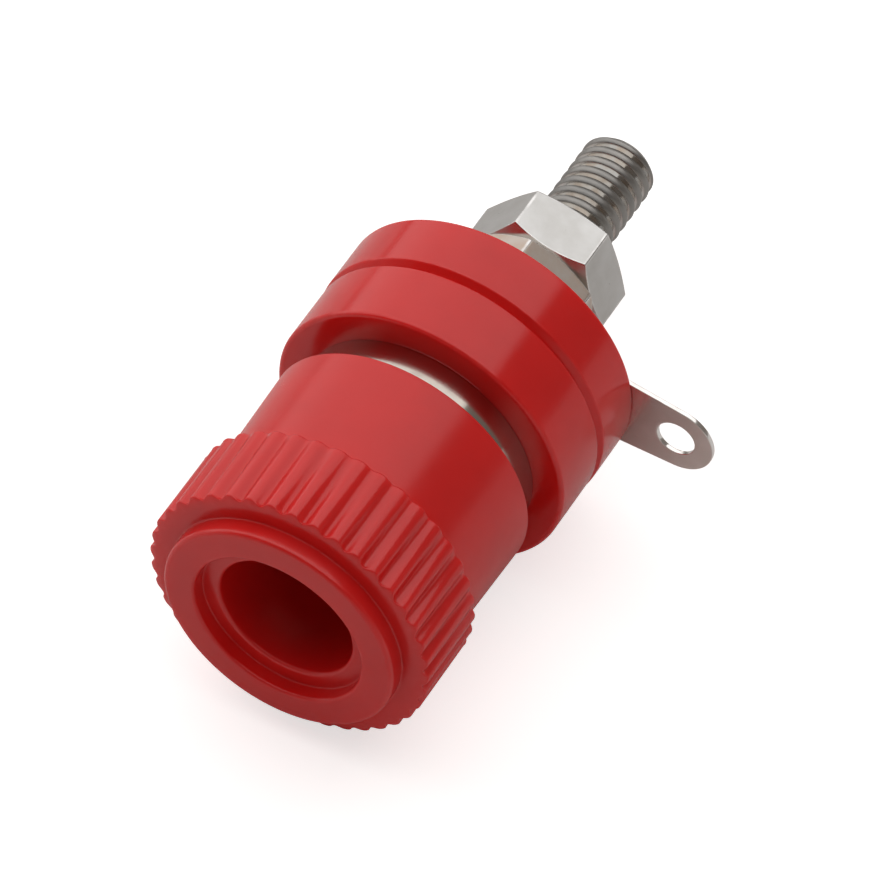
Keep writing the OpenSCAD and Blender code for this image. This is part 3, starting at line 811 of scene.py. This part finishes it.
# the sheet is two rings of quads that share a line across the tongue: each ring runs straight from its
# hole's edge to the outline, which is the eye's arc, the tongue's two sides or the tip's arc; a side is the
# line that touches the root's and the tip's circle, and it leaves the eye where it crosses the eye's circle
def makeLug(look):
    low, high = (corner.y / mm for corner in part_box("solder_lug"))
    reach, splitAt = look["reach"], look["splitAt"]
    lean = math.asin((look["rootR"] - look["tipR"]) / reach)
    rootPoint = np.array([look["rootR"] * math.sin(lean), look["rootR"] * math.cos(lean)])
    tipPoint = np.array([reach + look["tipR"] * math.sin(lean), look["tipR"] * math.cos(lean)])
    slope = (tipPoint[1] - rootPoint[1]) / (tipPoint[0] - rootPoint[0])
    level = rootPoint[1] - slope * rootPoint[0]
    steep = 1 + slope ** 2
    eyeAt = (-slope * level + math.sqrt(look["eyeR"] ** 2 * steep - level ** 2)) / steep

    # a side and an arc leave out their first point, where the stretch before them ends
    def side(start, stop, count, sign):
        places = np.linspace(start, stop, count)[1:]
        return np.stack([places, sign * (level + slope * places)], -1)

    def arc(centre, radius, start, stop):
        a = np.linspace(start, stop, look["arcPoints"])[1:]
        return np.stack([centre + radius * np.cos(a), radius * np.sin(a)], -1)

    half = level + slope * splitAt
    across = np.linspace(-half, half, look["crossPoints"])
    cross = np.stack([np.full(len(across), splitAt), across], -1)
    eyeAngle = math.atan2(level + slope * eyeAt, eyeAt)
    eyeLoop = np.concatenate([
        cross, side(splitAt, eyeAt, look["eyeSidePoints"], 1),
        arc(0, look["eyeR"], eyeAngle, 2 * math.pi - eyeAngle),
        side(eyeAt, splitAt, look["eyeSidePoints"], -1)[:-1]])
    tipLoop = np.concatenate([
        cross[::-1], side(splitAt, tipPoint[0], look["tipSidePoints"], -1),
        arc(reach, look["tipR"], lean - math.pi / 2, math.pi / 2 - lean),
        side(tipPoint[0], splitAt, look["tipSidePoints"], 1)[:-1]])

    share = np.array(look["rings"])[:, None, None]
    points, faces, edges, count = [], [], [], 0
    for loop, centre, radius in ((eyeLoop, 0.0, look["boreR"]), (tipLoop, reach, look["holeR"])):
        away = loop - (centre, 0)
        hole = (centre, 0) + away * radius / np.linalg.norm(away, axis=-1, keepdims=True)
        ring = hole + (loop - hole) * share
        points.append(ring.reshape(-1, 2))
        edge = np.zeros(ring.shape[:2])
        edge[0], edge[-1] = 1, np.abs(loop[:, 0] - splitAt) > tiny
        edges.append(edge.ravel())
        faces.append(gridQuads(len(share), len(loop), False, True) + count)
        count += ring.shape[0] * ring.shape[1]
    flat = np.concatenate(points)
    first, back = np.unique(np.round(flat, look["mergeDigits"]), axis=0,
                            return_index=True, return_inverse=True)[1:]
    flat, quads = flat[first], back.ravel()[np.concatenate(faces)]
    turn = math.radians(look["angle"])
    x = flat[:, 0] * math.cos(turn) - flat[:, 1] * math.sin(turn)
    z = flat[:, 0] * math.sin(turn) + flat[:, 1] * math.cos(turn)
    sheet = np.stack([x, np.full(len(x), (low + high) / 2), z], -1)
    lug = makePiece("solderLug", sheet, [quads], {"edge": np.concatenate(edges)[first]},
                    lugTin, "socket_body", "tinned_brass", "solder_lug")
    wall = lug.modifiers.new("sheet", "SOLIDIFY")
    wall.thickness, wall.offset = (high - low) * mm, 0.0
    bevel = lug.modifiers.new("stamped edge", "BEVEL")
    bevel.width, bevel.segments = look["bevel"] * mm, look["bevelSteps"]
    bevel.limit_method, bevel.angle_limit = "ANGLE", math.radians(look["bevelAngle"])


makeLug(lugShape)


stageLook = {
    "floorSize": 3.0, "floorColour": (0.80, 0.79, 0.78, 1.0), "floorRough": 0.9,
    "floorGlow": 0.66, "floorFade": (0.08, 0.5),
    "dark": (0.05, 0.04, 0.034, 1.0), "side": (0.19, 0.17, 0.155, 1.0), "pale": (0.50, 0.47, 0.44, 1.0),
    "sideRise": (-0.35, 0.25), "paleRise": (0.5, -0.5), "horizon": (0.42, 0.08),
    "overhead": {"place": (-0.0325, 0.26, 0.60), "aim": (0.0, 0.0, -1.0), "size": (1.035, 1.08),
                 "radiance": 1.05},
    "left": {"place": (-0.55, 0.30, 0.32), "aim": (1.0, 0.0, 0.0), "size": (1.0, 0.56), "radiance": 0.92},
}


# a plane whose lit colour is topped up towards white for the camera, fully so away from the object, and which
# the camera sees through from below
def makeFloor(look):
    low = cadBox[0][2]
    half = look["floorSize"] / 2
    mesh = bpy.data.meshes.new("floor")
    mesh.from_pydata([(-half, -half, low), (half, -half, low), (half, half, low), (-half, half, low)],
                     [], [(0, 1, 2, 3)])
    floor = bpy.data.objects.new("floor", mesh)
    scene.collection.objects.link(floor)
    material, tree, shader = startMaterial("paleFloor")
    shader.inputs["Base Color"].default_value = look["floorColour"]
    shader.inputs["Roughness"].default_value = look["floorRough"]
    shader.inputs["Specular IOR Level"].default_value = 0.0
    shader.inputs["Emission Color"].default_value = white
    seen = addNode(tree, "ShaderNodeLightPath").outputs["Is Camera Ray"]
    place = addNode(tree, "ShaderNodeTexCoord").outputs["Object"]
    away = addNode(tree, "ShaderNodeVectorMath", {0: place}, operation="LENGTH").outputs["Value"]
    glow = rangeNode(tree, away, *look["floorFade"], look["floorGlow"], 1.0)
    tree.links.new(mathNode(tree, "MULTIPLY", seen, glow), shader.inputs["Emission Strength"])
    below = addNode(tree, "ShaderNodeNewGeometry").outputs["Backfacing"]
    clear = addNode(tree, "ShaderNodeBsdfTransparent")
    mix = addNode(tree, "ShaderNodeMixShader", {
        0: mathNode(tree, "MULTIPLY", below, seen), 1: shader.outputs[0], 2: clear.outputs[0]})
    tree.links.new(mix.outputs[0], tree.nodes["Material Output"].inputs["Surface"])
    mesh.materials.append(material)


# a lamp's power is its radiance times pi times its area
def addLamp(name, look):
    data = bpy.data.lights.new(name, "AREA")
    data.shape = "RECTANGLE"
    data.size, data.size_y = look["size"]
    data.energy = look["radiance"] * math.pi * data.size * data.size_y
    lamp = bpy.data.objects.new(name, data)
    lamp.location = look["place"]
    lamp.rotation_euler = Vector(look["aim"]).to_track_quat("-Z", "Y").to_euler()
    lamp.visible_camera = False
    scene.collection.objects.link(lamp)


# white for the camera; for the object a dim warm room, darkest in front and high up, paler in front near the
# horizon
def makeWorld(look):
    world = bpy.data.worlds.new("studio")
    scene.world = world
    world.use_nodes = True
    tree = world.node_tree
    tree.nodes.clear()
    way = addNode(tree, "ShaderNodeTexCoord").outputs["Generated"]
    part = addNode(tree, "ShaderNodeSeparateXYZ", {0: way}).outputs
    room = mixNode(tree, rangeNode(tree, part[1], *look["sideRise"]), look["dark"], look["side"])
    pale = mathNode(tree, "MULTIPLY", rangeNode(tree, part[1], *look["paleRise"]),
                    rangeNode(tree, part[2], *look["horizon"]))
    room = mixNode(tree, pale, room, look["pale"])
    seen = addNode(tree, "ShaderNodeLightPath").outputs["Is Camera Ray"]
    background = addNode(tree, "ShaderNodeBackground", {
        "Color": mixNode(tree, seen, room, white), "Strength": 1.0})
    addNode(tree, "ShaderNodeOutputWorld", {"Surface": background.outputs[0]})


makeFloor(stageLook)
addLamp("overheadSoftbox", stageLook["overhead"])
addLamp("leftSoftbox", stageLook["left"])
makeWorld(stageLook)
print("stage lit")
